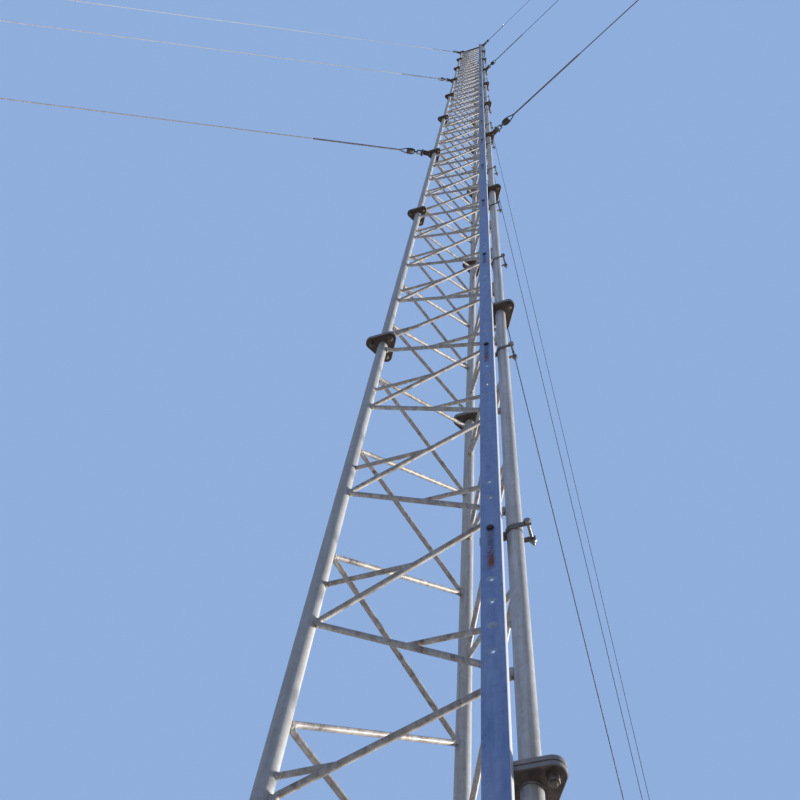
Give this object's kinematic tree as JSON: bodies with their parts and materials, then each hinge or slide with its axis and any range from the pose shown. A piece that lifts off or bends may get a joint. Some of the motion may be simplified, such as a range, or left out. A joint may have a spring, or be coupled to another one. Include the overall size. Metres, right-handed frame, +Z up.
{
  "type": "guyed lattice radio mast",
  "caption": "Slender guyed lattice mast of bolted galvanised sections with tube legs, bent-rod bracing, a climbing rail, and guys with turnbuckles and ground anchors.",
  "frame": {"origin": "on the ground under the mast's axis, at the base plate's underside", "axes": "+Z up along the mast, -Y out of the front side with the half rungs, +X to the leg with the climbing rail"},
  "size_m": [31.6844, 27.4456, 30.03],
  "materials": {
    "galvanised_steel": "hot-dip galvanised, weathered dull grey with brown stains at edges and bolts",
    "wire_rope": "galvanised wire rope with wrapped grips",
    "forged_steel": "galvanised forged fittings with light rust"
  },
  "bodies": {
    "root": {"base_plate": "galvanised_steel", "left_leg_tubes": "galvanised_steel", "right_leg_tubes": "galvanised_steel", "back_leg_tubes": "galvanised_steel", "foot_flanges": "galvanised_steel", "head_flanges": "galvanised_steel", "section_01_bracing": "galvanised_steel", "section_02_bracing": "galvanised_steel", "section_03_bracing": "galvanised_steel", "section_04_bracing": "galvanised_steel", "section_05_bracing": "galvanised_steel", "section_06_bracing": "galvanised_steel", "section_07_bracing": "galvanised_steel", "section_08_bracing": "galvanised_steel", "section_09_bracing": "galvanised_steel", "section_10_bracing": "galvanised_steel", "climbing_rail": "galvanised_steel", "rail_clamps": "galvanised_steel", "top_ring": "galvanised_steel", "guy_lugs": "forged_steel", "shackles": "forged_steel", "low_guy_left": "wire_rope", "middle_guy_left": "wire_rope", "top_guy_left": "wire_rope", "low_guy_right": "wire_rope", "middle_guy_right": "wire_rope", "top_guy_right": "wire_rope", "low_guy_back": "wire_rope", "middle_guy_back": "wire_rope", "top_guy_back": "wire_rope", "turnbuckles": "forged_steel", "ground_anchors": "forged_steel"}
  },
  "joints": []
}
